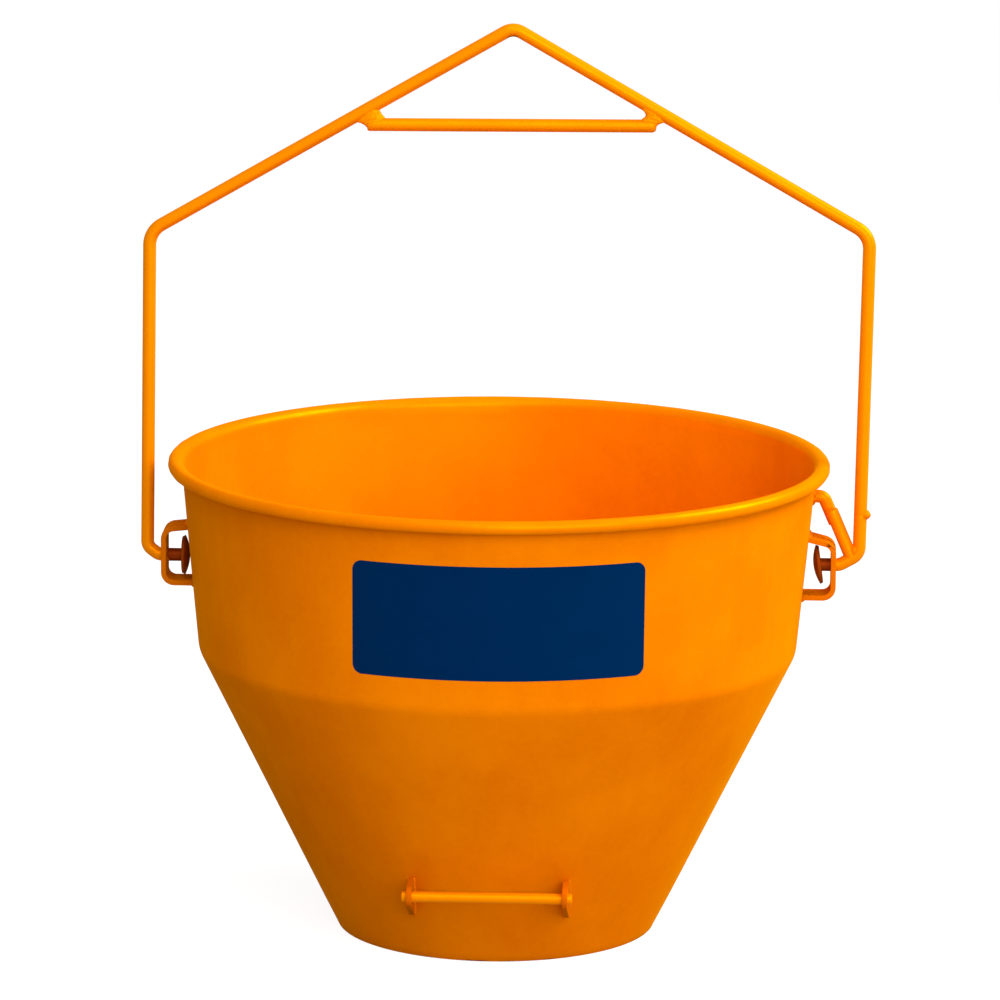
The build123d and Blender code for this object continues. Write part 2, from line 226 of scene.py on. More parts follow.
def speckle(tree, place, scale, detail, roughness=0.5):
    """Noise with so many grains to a metre."""
    traits = {"Vector": place, "Scale": scale, "Detail": detail, "Roughness": roughness}
    return shader(tree, "TexNoise", traits).outputs["Fac"]


def on_piece(tree):
    """Place of a point on its piece, in the shared frame."""
    return shader(tree, "TexCoord").outputs["Object"]


def new_material(name):
    """Empty material and its node tree."""
    material = bpy.data.materials.new(name)
    material.use_nodes = True
    material.node_tree.nodes.clear()
    return material, material.node_tree


def new_group(name, inputs, outputs):
    """Empty shader node group: inputs maps a socket's name to its kind and value, outputs to its kind."""
    tree = bpy.data.node_groups.new(name, "ShaderNodeTree")
    for socket, (kind, value) in inputs.items():
        made = tree.interface.new_socket(socket, in_out="INPUT", socket_type="NodeSocket" + kind)
        made.default_value = value
    for socket, kind in outputs.items():
        tree.interface.new_socket(socket, in_out="OUTPUT", socket_type="NodeSocket" + kind)
    return tree, tree.nodes.new("NodeGroupInput"), tree.nodes.new("NodeGroupOutput")


def make_sprayed_coat():
    """Sprayed enamel: clouds of thicker and thinner colour, faint runs, orange peel and dust nibs.

    Colour goes from Enamel to Thin by the clouds, runs and flecks times Mottle, and the roughness
    rises with them from Satin. Height is the peel plus the nibs.
    """
    cloud_share, run_share, fleck_share = 0.5, 0.3, 0.5
    rough_share = 0.16
    nib_rarity, nib_share = 0.9, 0.7
    tree, given, out = new_group(
        "sprayed_coat",
        {
            "Enamel": ("Color", (0.8, 0.2, 0.0, 1)),
            "Thin": ("Color", (0.6, 0.1, 0.0, 1)),
            "Mottle": ("Float", 1.0),
            "Satin": ("Float", 0.45),
        },
        {"Color": "Color", "Roughness": "Float", "Height": "Float"},
    )
    place = on_piece(tree)
    cloud = speckle(tree, place, scale=11.0, detail=4.0, roughness=0.55)
    fleck = speckle(tree, place, scale=210.0, detail=3.0, roughness=0.6)
    drawn = shader(tree, "Mapping", {"Vector": place, "Scale": (60.0, 60.0, 5.0)})
    runs = speckle(tree, drawn.outputs[0], scale=1.0, detail=2.0)
    peel = speckle(tree, place, scale=520.0, detail=2.0, roughness=0.45)
    nib = shader(tree, "TexVoronoi", {"Vector": place, "Scale": 90.0, "Randomness": 1.0}, feature="F1")
    soft_cloud = ranged(tree, cloud, start=0.32, end=0.68, interpolation_type="SMOOTHSTEP")
    clouds = reckoned(tree, "MULTIPLY", soft_cloud, cloud_share)
    with_runs = reckoned(tree, "MULTIPLY_ADD", runs, run_share, clouds)
    whole = reckoned(tree, "MULTIPLY_ADD", fleck, fleck_share, with_runs)
    share = reckoned(tree, "MULTIPLY", whole, given.outputs["Mottle"])
    colour = blended(tree, share, given.outputs["Enamel"], given.outputs["Thin"])
    rough = reckoned(tree, "MULTIPLY_ADD", whole, rough_share, given.outputs["Satin"])
    rare = reckoned(tree, "GREATER_THAN", nib.outputs["Color"], nib_rarity)
    nibs = reckoned(tree, "MULTIPLY", rare, ranged(tree, nib.outputs["Distance"], start=0.14, end=0.05))
    height = reckoned(tree, "MULTIPLY_ADD", nibs, nib_share, peel)
    for socket, value in (("Color", colour), ("Roughness", rough), ("Height", height)):
        tree.links.new(value, out.inputs[socket])
    return tree


def make_rubbed_edge():
    """Wear along a line: solid at the line, breaking up into chips at Reach from it.

    Mask is 1 where Amount less the share of Reach, plus coarse noise, is well above a half.
    """
    tree, given, out = new_group(
        "rubbed_edge",
        {"Distance": ("Float", 0.0), "Reach": ("Float", 0.01), "Amount": ("Float", 0.5)},
        {"Mask": "Float"},
    )
    coarse = speckle(tree, on_piece(tree), scale=48.0, detail=5.0, roughness=0.7)
    share = reckoned(tree, "DIVIDE", given.outputs["Distance"], given.outputs["Reach"], use_clamp=True)
    left = reckoned(tree, "SUBTRACT", given.outputs["Amount"], share)
    total = reckoned(tree, "ADD", left, coarse)
    tree.links.new(ranged(tree, total, start=0.72, end=0.8), out.inputs["Mask"])
    return tree


sprayed_coat = make_sprayed_coat()
rubbed_edge = make_rubbed_edge()
orange = (0.891, 0.231, 0.0003, 1)
thin_orange = (0.731, 0.150, 0.0002, 1)
# Colour of chipped paint, which on the pins also stands for painted shade.
bared_primer_and_shade = (0.26, 0.035, 0.003, 1)


def enamelled(name, mottle, satin, gloss, lustre=0.12, worn=(), full=orange, thin=thin_orange):
    """Material of a sprayed piece: the coat, its peel as a fine bump, and chips to primer where worn, on
    the pins also standing for painted shade.

    gloss is a clear shine and lustre one in the paint's own colour. worn lists the worn places, each
    with its middle, the stretch of x, y and z in the distance from it, its reach and its amount.
    A stretch of 0 leaves an axis out, so that a place becomes a line or a plane.
    """
    material, tree = new_material(name)
    settings = {"Enamel": full, "Thin": thin, "Mottle": mottle, "Satin": satin}
    coat = shader(tree, "Group", settings, node_tree=sprayed_coat)
    colour = coat.outputs["Color"]
    place = on_piece(tree)
    for rub in worn:
        past = shader(tree, "VectorMath", {0: place, 1: rub["middle"]}, operation="SUBTRACT")
        drawn = shader(tree, "VectorMath", {0: past.outputs[0], 1: rub["stretch"]}, operation="MULTIPLY")
        away = shader(tree, "VectorMath", {0: drawn.outputs[0]}, operation="LENGTH").outputs["Value"]
        settings = {"Distance": away, "Reach": rub["reach"], "Amount": rub["amount"]}
        rubbed = shader(tree, "Group", settings, node_tree=rubbed_edge)
        colour = blended(tree, rubbed.outputs["Mask"], colour, bared_primer_and_shade)
    peel = shader(tree, "Bump", {"Height": coat.outputs["Height"], "Strength": 0.12, "Distance": 0.0004})
    paint = shader(
        tree,
        "BsdfPrincipled",
        {
            "Base Color": colour,
            "Roughness": coat.outputs["Roughness"],
            "Metallic": lustre,
            "Specular IOR Level": gloss,
            "Specular Tint": (1.0, 0.66, 0.05, 1),
            "Sheen Weight": 0.10,
            "Sheen Roughness": 0.35,
            "Sheen Tint": (0.85, 0.75, 0.0, 1),
            "Normal": peel.outputs["Normal"],
        },
    )
    shader(tree, "OutputMaterial", {"Surface": paint.outputs[0]})
    return material


round_rim = full_turn(sheet_steps)
flare_turn = 180 - np.degrees(band_tilt)
inner_flare = bend(flare_middle, flare_r + sheet / 2, flare_turn, 90, count=10)
outer_flare = bend(flare_middle, flare_r - sheet / 2, 90, flare_turn, count=8)
flare_foot = bend(flare_middle, flare_r - sheet / 2, flare_turn, 180)[0]
curl_outer_end = bend(bead_middle, bead_outside, rolled_end, 0)[0]
curl_inner_end = bend(bead_middle, bead_inside, rolled_end, 0)[0]
above_crease = crease_z + crease_steps
band_profile = np.concatenate(
    [
        straight((band_foot_r - band_wall, crease_z), inner_flare[0], count=26),
        inner_flare,
        bend(bead_middle, bead_outside, 90, rolled_end, count=30),
        straight(curl_outer_end, curl_inner_end, count=2),
        bend(bead_middle, bead_inside, rolled_end, 90, count=16),
        outer_flare,
        straight(flare_foot, (band_radius(above_crease[0]), above_crease[0]), count=22),
        soft_crease(band_radius(above_crease), above_crease, band_tilt),
    ]
)
on_rim = np.clip((band_profile[:, 1] - ripple_foot) / ripple_fade, 0, 1)
band_swell = rolling_dents(round_rim[:, None], band_profile[None, :, 1])
band_swell = band_swell + rim_ripple(round_rim[:, None]) * on_rim
painted_band = skin("painted_band", turned(band_profile, round_rim, band_swell), loop=True)
band_enamel = enamelled("band_enamel", mottle=0.8, satin=0.36, gloss=0.0)
fit(painted_band, band_enamel, "bucket", "bucket_paint", "upper_band")

# The bead is handled more than the wall below it, so its coat is rubbed smoother.
bead_coat_foot = flare_middle[1] - 2.0
bead_enamel = enamelled("bead_enamel", mottle=0.7, satin=0.24, gloss=0.0, lustre=0.20)
painted_band.data.materials.append(bead_enamel)
face_middle = np.empty((len(painted_band.data.polygons), 3), dtype=np.float32)
painted_band.data.polygons.foreach_get("center", face_middle.ravel())
on_bead = face_middle[:, 2] > bead_coat_foot * mm
painted_band.data.polygons.foreach_set("material_index", on_bead.astype(np.int32))


# Rim wire: a ring of 6 mm drawn steel wire that stiffens the rim.
# The rolled edge closes over it, so it only shows in the slit under the bead.
wire_steel, wire_scale = (0.30, 0.29, 0.28, 1), (0.14, 0.09, 0.06, 1)
drawn_wire, tree = new_material("drawn_wire")
scale_marks = speckle(tree, on_piece(tree), scale=160.0, detail=4.0, roughness=0.65)
wire_finish = shader(
    tree,
    "BsdfPrincipled",
    {
        "Base Color": blended(tree, scale_marks, wire_steel, wire_scale),
        "Metallic": 1.0,
        "Roughness": ranged(tree, scale_marks, start=0.0, end=1.0, low=0.35, high=0.6),
    },
)
shader(tree, "OutputMaterial", {"Surface": wire_finish.outputs[0]})


def repaint(name, material):
    """Gives a CAD piece its finish."""
    nodes[name].data.materials.clear()
    nodes[name].data.materials.append(material)


repaint("rim_wire", drawn_wire)


# Lower cone: a second rolled sheet, butted to the band in a soft crease and welded from inside.
# Its foot stands on the ground, where the paint chips first.
cone_wall = sheet / np.cos(cone_tilt)
foot_round = 0.5


def cone_radius(z):
    """Outer radius of the cone: a straight taper up from the foot to the crease."""
    return cone_foot_r + z * np.tan(cone_tilt)


below_crease = crease_z - crease_steps[::-1]
cone_shoulder = (cone_radius(below_crease[-1]), below_crease[-1])
cone_heel = (cone_radius(foot_round), foot_round)
cone_foot = (cone_foot_r - foot_round / 2, 0.0)
cone_inside_foot = (cone_foot_r - cone_wall, 0.0)
cone_inside_top = (band_foot_r - cone_wall, crease_z)
cone_profile = np.concatenate(
    [
        soft_crease(cone_radius(below_crease), below_crease, cone_tilt)[:-1],
        straight(cone_shoulder, cone_heel, count=40),
        straight(cone_heel, cone_foot, count=2),
        straight(cone_foot, cone_inside_foot, count=2),
        straight(cone_inside_foot, cone_inside_top, count=40),
        np.array([cone_inside_top]),
    ]
)
cone_swell = rolling_dents(round_rim[:, None], cone_profile[None, :, 1])
painted_cone = skin("painted_cone", turned(cone_profile, round_rim, cone_swell), loop=True)
foot_rub = dict(middle=(0, 0, 0), stretch=(0, 0, 1), reach=0.006, amount=0.30)
cone_enamel = enamelled("cone_enamel", mottle=0.8, satin=0.40, gloss=0.0, worn=[foot_rub])
fit(painted_cone, cone_enamel, "bucket", "bucket_paint", "lower_cone")


# Base: a flat 3 mm disc let into the foot of the cone and welded round from inside.
# It is painted with the rest, and scuffed underneath where the bucket stands.
base_thick = 3.0
underside_rub = dict(middle=(0, 0, 0), stretch=(0, 0, 1), reach=0.0012, amount=0.42)
base_enamel = enamelled("base_enamel", mottle=1.0, satin=0.46, gloss=0.004, worn=[underside_rub])
repaint("base_plate", base_enamel)


# Welds of the bucket: stick-welded beads, painted over with the sheets.
# One runs inside over the crease, one inside round the base, and one up each sheet's joint at the back.
weld_enamel = enamelled("weld_enamel", mottle=1.1, satin=0.34, gloss=0.004, lustre=0.20)
bead_steps = 18
waver_wide, waver_slight = 0.07, 0.05
ripple_lift, ripple_spread, crescent = 0.16, 0.05, 0.45
end_taper = 1.2
all_soft = 180.0


def unit(vectors):
    """Vectors of length 1 in the same directions."""
    return vectors / np.linalg.norm(vectors, axis=-1, keepdims=True)


def weld_bead(path, outward, width, proud, sunk, pitch, loop=False, seed=0.0):
    """Bead along a path of points: half an ellipse above the steel, a flatter one sunk below it.

    Each ripple is a crescent: the height swells by the cosine of the run over pitch, later at the
    sides than in the middle, and the width wavers by two slow cosines. The ends taper round to points
    unless the path is a loop.
    """
    ahead = np.roll(path, -1, axis=0) - np.roll(path, 1, axis=0)
    if not loop:
        ahead[0], ahead[-1] = path[1] - path[0], path[-1] - path[-2]
    side = unit(np.cross(outward, unit(ahead)))
    run = np.concatenate([[0.0], np.cumsum(np.linalg.norm(np.diff(path, axis=0), axis=1))])
    if loop:
        length = run[-1] + np.linalg.norm(path[0] - path[-1])
        pitch = length / np.round(length / pitch)
        turn = 2 * np.pi * run / length
        slow, slower = 17 * turn, 9 * turn
        taper = 1.0
    else:
        slow, slower = run / pitch * 1.37, run / pitch * 0.71
        ends = np.minimum(run, run[-1] - run) / (end_taper * width)
        taper = np.sqrt(1 - (1 - np.clip(ends, 0, 1)) ** 2)
    waver = 1 + waver_wide * np.cos(slower + seed) + waver_slight * np.cos(slow + 2 * seed)
    waver = (waver * taper)[:, None]
    around = full_turn(bead_steps)
    crown = np.sin(around) > 0
    ripple = np.cos(2 * np.pi * (run[:, None] / pitch + crescent * np.cos(around)[None, :] ** 2))
    lift = np.where(crown, proud, sunk) * np.sin(around) * (1 + ripple_lift * ripple * crown) * waver
    spread = width * np.cos(around) * (1 + ripple_spread * ripple) * waver
    return path[:, None] + side[:, None] * spread[..., None] + outward[:, None] * lift[..., None]


def lay_bead(name, node, path, outward, loop=False, **sizes):
    """Painted bead on the bucket, in place of a weld of the CAD model."""
    bead = skin(name, weld_bead(path, outward, loop=loop, **sizes), loop=loop, crisp=all_soft)
    fit(bead, weld_enamel, "bucket", "bucket_paint", node)


def inside_ring(radius, z, slope, count):
    """Points of a level circle round the axis, and at each the way in, raised by a slope in radians."""
    angle = full_turn(count)
    x, y = np.cos(angle), np.sin(angle)
    path = np.stack([radius * x, radius * y, np.full(count, z)], axis=1)
    inward = np.stack([-np.cos(slope) * x, -np.cos(slope) * y, np.full(count, np.sin(slope))], axis=1)
    return path, inward


crease_ring_r, crease_slope = band_foot_r - cone_wall - 0.75, (band_tilt + cone_tilt) / 2
crease_ring = inside_ring(crease_ring_r, crease_z, crease_slope, count=1960)
crease_sizes = dict(width=4.4, proud=1.25, sunk=0.7, pitch=5.2)
lay_bead("crease_bead", "crease_weld", *crease_ring, loop=True, **crease_sizes)

base_ring_r, base_ring_z, base_slope = cone_radius(base_thick) - cone_wall - 1.3, 4.3, np.radians(32)
base_ring = inside_ring(base_ring_r, base_ring_z, base_slope, count=1080)
base_sizes = dict(width=2.7, proud=1.5, sunk=1.5, pitch=4.8, seed=1.7)
lay_bead("base_bead", "base_weld", *base_ring, loop=True, **base_sizes)

seam_step, seam_in = 0.55, 0.1
seam_sizes = dict(width=2.7, proud=0.95, sunk=0.9, pitch=4.4)
for seam, low, high, radius_at, tilt, seed in (
    ("band_seam", 219.5, 349.5, band_radius, band_tilt, 0.3),
    ("cone_seam", 3.5, 212.5, cone_radius, cone_tilt, 2.2),
):
    z = np.linspace(low, high, int((high - low) / seam_step))
    wander = 0.35 * np.cos(z / 23 + seed) + 0.2 * np.cos(z / 9)
    path = np.stack([wander, radius_at(z) - seam_in + rolling_dents(np.pi / 2, z), z], axis=1)
    outward = np.broadcast_to([0.0, np.cos(tilt), -np.sin(tilt)], path.shape)
    lay_bead(seam + "_bead", seam + "_weld", path, outward, seed=seed, **seam_sizes)


# Straps: 25 x 4 mm flat bar bent to a U and drilled, one each side, in which the bail's pins turn.
# The bar's edges are a little rounded.
# A short bead along the top and bottom leg holds each strap to the band.
flat_coat = dict(mottle=0.9, satin=0.46, gloss=0.0, lustre=0.03)
# The straps get a darker copy of the bucket's orange: painted shade.
shaded_strap_orange, thin_shaded_strap_orange = (0.74, 0.185, 0.0003, 1), (0.64, 0.145, 0.0002, 1)
strap_enamel = enamelled("strap_enamel", full=shaded_strap_orange, thin=thin_shaded_strap_orange, **flat_coat)
strap_edge, strap_edge_angle = 0.6, np.radians(50)
strap_half = 12.2
strap_corners = ((-1, 1, 307.3), (-1, -1, 260.6), (1, 1, 305.0), (1, -1, 256.6))
bead_off = 0.4
strap_bead_out, strap_bead_up = 0.72, 0.69
strap_bead_sizes = dict(width=2.5, proud=1.5, sunk=1.0, pitch=3.8)

for name in ("left_bracket", "right_bracket"):
    repaint(name, strap_enamel)
    joined = nodes[name].modifiers.new("joined", "WELD")
    joined.merge_threshold = merge_within
    eased = nodes[name].modifiers.new("eased", "BEVEL")
    eased.width = strap_edge * mm
    eased.segments = 2
    eased.limit_method = "ANGLE"
    eased.angle_limit = strap_edge_angle
    evened = nodes[name].modifiers.new("evened", "WEIGHTED_NORMAL")
    evened.keep_sharp = True

for i, (side, tip, z) in enumerate(strap_corners):
    y = np.linspace(-strap_half, strap_half, 60) * side * tip
    wall_r = band_radius(z) + rolling_dents(np.arctan2(y, side * band_radius(z)), z) + bead_off
    path = np.stack([side * np.sqrt(wall_r**2 - y**2), y, np.full_like(y, z)], axis=1)
    outward = np.broadcast_to([side * strap_bead_out, 0.0, tip * strap_bead_up], path.shape)
    lay_bead(f"bracket_bead_{i}", "bracket_welds", path, outward, seed=z, **strap_bead_sizes)


# Keeper hook: a stub of 10 mm bar under the rim on the right, bent down behind the bail's finger.
# A collar of weld holds its root to the band.
rod_r = 4.95
bar_steps = 28
bar_crisp = 60.0
sawn_edge = 0.6
arc_step = 1.2
quarter_round = np.radians([0.0, 30.0, 60.0, 90.0])
hook_y, hook_z = 11.6, 332.4
hook_corners = [(236.2, hook_y, hook_z), (245.58, hook_y, hook_z), (254.46, hook_y, 312.0)]
hook_bend = 6.0
collar_r, collar_steps = 5.6, 90
collar_out, collar_aside = 0.8, 0.6
collar_sizes = dict(width=2.2, proud=1.5, sunk=1.1, pitch=4.0)


def bent_line(corners, bends, step):
    """Middle line of a bar: straight runs between corners, joined by arcs of the given radii."""
    corners = np.array(corners, float)
    runs = []
    start = corners[0]
    for before, corner, after, radius in zip(corners[:-2], corners[1:-1], corners[2:], bends):
        into, away = unit(corner - before), unit(after - corner)
        turn = np.arccos(np.clip(into @ away, -1, 1))
        reach = radius * np.tan(turn / 2)
        enters = corner - into * reach
        runs.append(straight(start, enters, max(2, int(np.linalg.norm(enters - start) / step))))
        inward = unit(away - into * (into @ away))
        sweep = np.linspace(0, turn, max(6, int(radius * turn / arc_step)), endpoint=False)[:, None]
        runs.append(enters + inward * radius * (1 - np.cos(sweep)) + into * radius * np.sin(sweep))
        start = corner + away * reach
    last = corners[-1]
    runs.append(straight(start, last, max(4, int(np.linalg.norm(last - start) / step))))
    return np.concatenate(runs + [last[None, :]])


def round_bar(path, radius, edges=(sawn_edge, sawn_edge)):
    """Round bar along a path in an upright plane across Y: a circle carried along it, its ends closed.

    Section s at an angle a is path(s) + radius (cos a, sin a) in the plane's normal and Y. Each end is
    a flat disc whose edge is a quarter round of the size given in edges.
    """
    across = np.array([0.0, 1.0, 0.0])
    ahead = unit(np.gradient(path, axis=0))
    lid_size = [np.concatenate([[0.0], radius - edge + edge * np.sin(quarter_round)]) for edge in edges]
    lid_out = [np.concatenate([[0.0], edge * (1 - np.cos(quarter_round))])[:, None] for edge in edges]
    head, tail = path[0] + ahead[0] * lid_out[0], path[-1] - ahead[-1] * lid_out[1][::-1]
    middle = np.concatenate([head, path[1:-1], tail])
    size = np.concatenate([lid_size[0], np.full(len(path) - 2, radius), lid_size[1][::-1]])
    rings = np.ones(len(path), dtype=int)
    rings[[0, -1]] = len(quarter_round) + 1
    beside = np.repeat(np.cross(ahead, across), rings, axis=0)
    angle = full_turn(bar_steps)[:, None]
    circle = np.cos(angle) * beside[:, None, :] + np.sin(angle) * across
    return middle[:, None, :] + size[:, None, None] * circle


# The round bars get a lighter, yellower copy of the orange: a painted highlight.
lit_bar_orange, thin_lit_bar_orange = (0.88, 0.25, 0.0003, 1), (0.80, 0.20, 0.0002, 1)
lit_bar_coat = dict(gloss=0.004, lustre=0.22, full=lit_bar_orange, thin=thin_lit_bar_orange)
bar_enamel = enamelled("bar_enamel", mottle=0.7, satin=0.26, **lit_bar_coat)
hook_line = bent_line(hook_corners, [hook_bend], step=3.0)
hook_bar = skin("hook_bar", round_bar(hook_line, rod_r), crisp=bar_crisp)
fit(hook_bar, bar_enamel, "bucket", "bucket_paint", "keeper_hook")

about = full_turn(collar_steps)
collar_y, collar_z = hook_y + collar_r * np.cos(about), hook_z + collar_r * np.sin(about)
collar_x = np.sqrt((band_radius(collar_z) + bead_off) ** 2 - collar_y**2)
path = np.stack([collar_x, collar_y, collar_z], axis=1)
aside = collar_aside * np.cos(about), collar_aside * np.sin(about)
outward = np.stack([np.full(collar_steps, collar_out), *aside], axis=1)
lay_bead("keeper_collar", "keeper_weld", path, outward, loop=True, **collar_sizes)


# Tip handle: an 8 mm bar through two lugs of 4 mm plate, low on the front of the cone.
# A bead runs up both sides of each lug's foot.
handle_y, handle_z = -173.662, 63.5
handle_ends = (-63.0, handle_y, handle_z), (63.0, handle_y, handle_z)
handle_r = 3.98
lug_x, lug_half = 57.5, 1.98
lug_eye_r, lug_hole_r = 7.98, 4.1
lug_edge, lug_face_in = 0.5, 0.2
lug_foot = (36.0, 70.0)
lug_sunk = 1.0
lug_steps = 144
# The lugs get a darker copy of the bucket's orange: painted shade.
shaded_lug_orange, thin_shaded_lug_orange = (0.66, 0.125, 0.0003, 1), (0.56, 0.095, 0.0002, 1)
lug_enamel = enamelled("lug_enamel", full=shaded_lug_orange, thin=thin_shaded_lug_orange, **flat_coat)
lug_bead_off = 0.2
lug_bead_aside, lug_bead_out, lug_bead_down = 0.55, -0.8, -0.25
lug_bead_sizes = dict(width=2.0, proud=1.1, sunk=0.9, pitch=3.2)


def straight_line(start, end, count):
    """Points on a line between two points, both of them included."""
    return np.concatenate([straight(start, end, count), [end]])


def lug_plate(side):
    """Drilled plate with a round eye: angles about the eye, and rings from the hole out and back.

    The outline is the eye's circle as far as its tangents to the two ends of the foot, then those lines
    and the foot. A line at a distance d, with its normal at the angle n, is d / cos(a - n) away at a.
    """
    angle = np.linspace(-np.pi, np.pi, lug_steps, endpoint=False)
    z = np.array(lug_foot)
    y = lug_sunk - np.sqrt(cone_radius(z) ** 2 - lug_x**2)
    from_eye = np.stack([y - handle_y, z - handle_z], axis=1)
    low, high = np.arctan2(from_eye[:, 1], from_eye[:, 0])
    low_turn, high_turn = np.arccos(lug_eye_r / np.linalg.norm(from_eye, axis=1))
    along = from_eye[1] - from_eye[0]
    foot_normal = np.arctan2(-along[0], along[1])
    foot_away = from_eye[0] @ np.array([np.cos(foot_normal), np.sin(foot_normal)])
    edge = np.full_like(angle, lug_eye_r)
    for reached, away, normal in (
        ((angle > low - low_turn) & (angle < low), lug_eye_r, low - low_turn),
        ((angle >= low) & (angle <= high), foot_away, foot_normal),
        ((angle > high) & (angle < high + high_turn), lug_eye_r, high + high_turn),
    ):
        edge[reached] = away / np.cos(angle[reached] - normal)
    inset = np.concatenate([[lug_edge + lug_face_in], lug_edge * (1 - np.sin(quarter_round))])
    level = np.concatenate([[lug_half, lug_half], lug_half - lug_edge * (1 - np.cos(quarter_round))])
    hole = np.full_like(angle, lug_hole_r)
    radius = np.stack([hole, *(edge - np.concatenate([inset, inset[::-1]])[:, None]), hole])
    x = side * lug_x + np.concatenate([level, -level[::-1]])[:, None] + 0 * radius
    return np.stack([x, handle_y + radius * np.cos(angle), handle_z + radius * np.sin(angle)], axis=-1)


handle_line = straight_line(*handle_ends, count=22)
handle_bar = skin("handle_bar", round_bar(handle_line, handle_r), crisp=bar_crisp)
fit(handle_bar, bar_enamel, "bucket", "bucket_paint", "tip_handle_bar")
for name, side in (("left_lug", -1), ("right_lug", 1)):
    lug = skin(name, lug_plate(side), loop=True, crisp=50)
    fit(lug, lug_enamel, "bucket", "bucket_paint", "tip_handle_" + name)
for i, (side, face) in enumerate(((-1, -1), (-1, 1), (1, -1), (1, 1))):
    z = np.linspace(*lug_foot, 72)
    x = side * lug_x + face * (lug_half + lug_bead_off)
    wall_r = cone_radius(z) + rolling_dents(np.arctan2(-cone_radius(z), x), z)
    path = np.stack([np.full_like(z, x), -np.sqrt(wall_r**2 - x**2), z], axis=1)
    outward = unit(np.array([face * lug_bead_aside, lug_bead_out, lug_bead_down]))
    outward = np.broadcast_to(outward, path.shape)
    lay_bead(f"lug_bead_{i}", "tip_handle_welds", path, outward, seed=x, **lug_bead_sizes)


# Bail: one 10 mm bar bent by hand into two legs, two shoulders and a peak for the hoist's hook.
# Its left end is cranked inwards and down to a pin that turns in the left strap.
# The hook rubs the peak's underside bare, and the straps rub the pins; the pins' dark patch inside the
# straps is partly this wear and partly painted shade.
pin_z = 282.0
bail_lean = np.radians(2.0)
peak = (7.734, 0.0, pin_z + 403.9)
left_shoulder, right_shoulder = (-264.999, 0.0, pin_z + 246.9), (276.667, 0.0, pin_z + 251.1)
splice = (273.327, 0.0, pin_z + 38.5)
left_pin, left_elbow = (-258.122, 0.0, pin_z), (-266.678, 0.0, pin_z + 6.4)
left_tip = (-237.3, 0.0, pin_z)
bail_corners = [left_tip, left_pin, left_elbow, left_shoulder, peak, right_shoulder, splice]
bail_bends = (8.0, 8.0, 18.0, 12.5, 18.0)
butted_edge = 0.05


def leaned(points):
    """Points of the upright bail, leaned back about the pins until its finger rests on the hook."""
    y, z = points[..., 1], points[..., 2] - pin_z
    back = y * np.cos(bail_lean) + z * np.sin(bail_lean)
    up = z * np.cos(bail_lean) - y * np.sin(bail_lean)
    return np.stack([points[..., 0], back, up + pin_z], axis=-1)


def pin_rub_and_shade(x):
    """Worn place of a pin, at a distance from the middle in metres: partly wear, partly painted shade
    inside the strap.
    """
    return dict(middle=(x, 0, pin_z * mm), stretch=(1, 0.3, 0.3), reach=0.011, amount=0.80)


hook_rub = dict(middle=(0.0077, 0.0137, 0.679), stretch=(0.55, 1, 1), reach=0.012, amount=0.48)
bail_rubs = [hook_rub, pin_rub_and_shade(-0.245)]
bail_enamel = enamelled("bail_enamel", mottle=0.7, satin=0.26, worn=bail_rubs, **lit_bar_coat)
bail_line = bent_line(bail_corners, bail_bends, step=6.0)
bail_grid = round_bar(bail_line, rod_r, edges=(sawn_edge, butted_edge))
bail_bar = skin("bail_bar", leaned(bail_grid), crisp=bar_crisp)
fit(bail_bar, bail_enamel, "bail", "bail_paint", "bail_rod")


# Latch end: the lower end of the right leg is a separate bar, butt-welded on and cranked inwards
# as the right pin. A straight finger rises from it to the keeper hook.
# Lumps of weld close the fork and the butt.
latch_corners = [splice, (272.851, 0.0, pin_z + 8.2), (258.122, 0.0, pin_z), (241.4, 0.0, pin_z)]
latch_bends = (10.0, 10.0)
finger_foot, finger_tip = (267.333, 0.0, pin_z + 5.0), (251.234, 0.0, pin_z + 42.0)
finger_edges = (sawn_edge, 0.8)
latch_enamel = enamelled("latch_enamel", mottle=0.8, satin=0.28, worn=[pin_rub_and_shade(0.247)], **lit_bar_coat)


def weld_lump(middle, sizes, seed):
    """Rounded lump of weld: a ball of three sizes, its radius swollen by two slow waves over it."""
    down = np.linspace(0, np.pi, 19)[:, None]
    about = full_turn(bar_steps)[None, :]
    swell = 1 + 0.05 * np.cos(2 * about + seed) * np.sin(down) ** 2
    swell = swell + 0.04 * np.cos(5 * down + 2 * seed) * np.sin(down)
    x = sizes[0] * swell * np.sin(down) * np.cos(about)
    y = sizes[1] * swell * np.sin(down) * np.sin(about)
    z = sizes[2] * swell * np.cos(down) * np.ones_like(about)
    return np.array(middle) + np.stack([x, y, z], axis=-1)


latch_line = bent_line(latch_corners, latch_bends, step=3.0)
latch_grid = round_bar(latch_line, rod_r, edges=(butted_edge, sawn_edge))
latch_bar = skin("latch_bar", leaned(latch_grid), crisp=bar_crisp)
fit(latch_bar, latch_enamel, "bail", "bail_paint", "latch_end_rod")
finger_grid = round_bar(straight_line(finger_foot, finger_tip, count=12), rod_r, finger_edges)
finger_bar = skin("finger_bar", leaned(finger_grid), crisp=bar_crisp)
fit(finger_bar, bail_enamel, "bail", "bail_paint", "latch_finger")
for name, node, middle, sizes, seed in (
    ("fork_lump", "latch_finger_weld", (268.6, 0.0, pin_z + 11.4), (4.3, 5.4, 4.6), 0.8),
    ("splice_lump", "bail_splice_weld", (276.3, 0.0, pin_z + 38.7), (4.9, 4.4, 4.1), 2.0),
):
    lump = skin(name, leaned(weld_lump(middle, sizes, seed)), crisp=all_soft)
    fit(lump, weld_enamel, "bail", "bail_paint", node)


